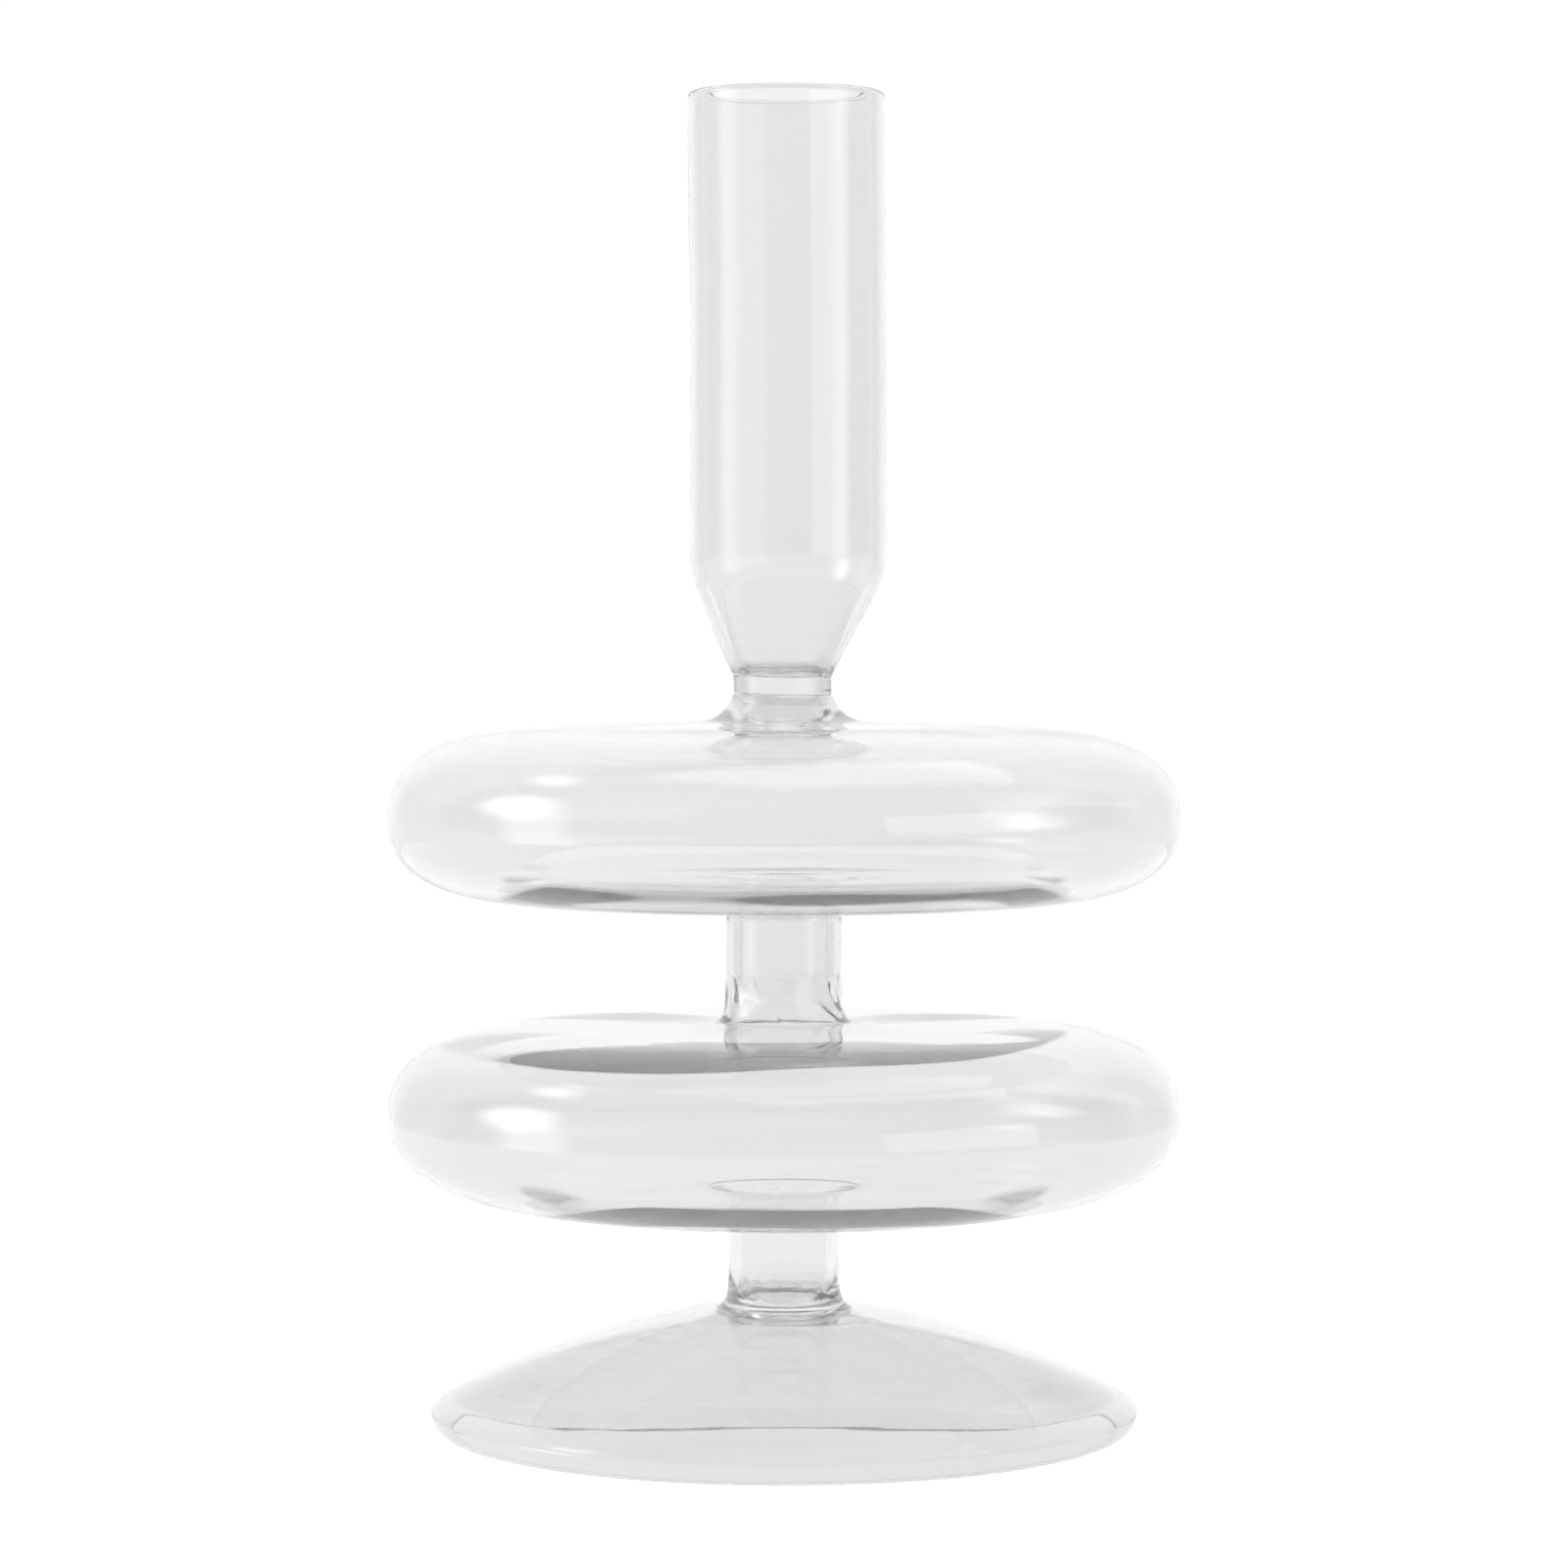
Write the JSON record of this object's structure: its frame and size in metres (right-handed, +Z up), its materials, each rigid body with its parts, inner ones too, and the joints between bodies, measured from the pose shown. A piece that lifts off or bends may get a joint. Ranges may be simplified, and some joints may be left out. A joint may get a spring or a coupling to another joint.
{
  "type": "bud vase",
  "caption": "Clear lamp-worked glass bud vase: a slim flower tube on a pinched neck above flattened hollow discs and a bell foot.",
  "frame": {"origin": "middle of the foot, on the surface that the vase stands on", "axes": "+Z up along the axis of the tube, discs and foot; the vase is the same all round, and +Y points away from the viewer"},
  "size_m": [0.1006, 0.1006, 0.1695],
  "materials": {
    "clear_glass": "clear blown glass, fire polished",
    "seal_glass": "clear remelted glass with folds and ripples"
  },
  "bodies": {
    "root": {"flower_tube": "clear_glass", "neck_plug": "seal_glass", "neck_collar": "seal_glass", "upper_disc": "clear_glass", "upper_disc_lower_seal": "seal_glass", "upper_stem": "clear_glass", "lower_disc_upper_seal": "seal_glass", "lower_disc": "clear_glass", "lower_disc_lower_seal": "seal_glass", "lower_stem": "clear_glass", "foot_seal": "seal_glass", "foot_bell": "clear_glass"}
  },
  "joints": []
}
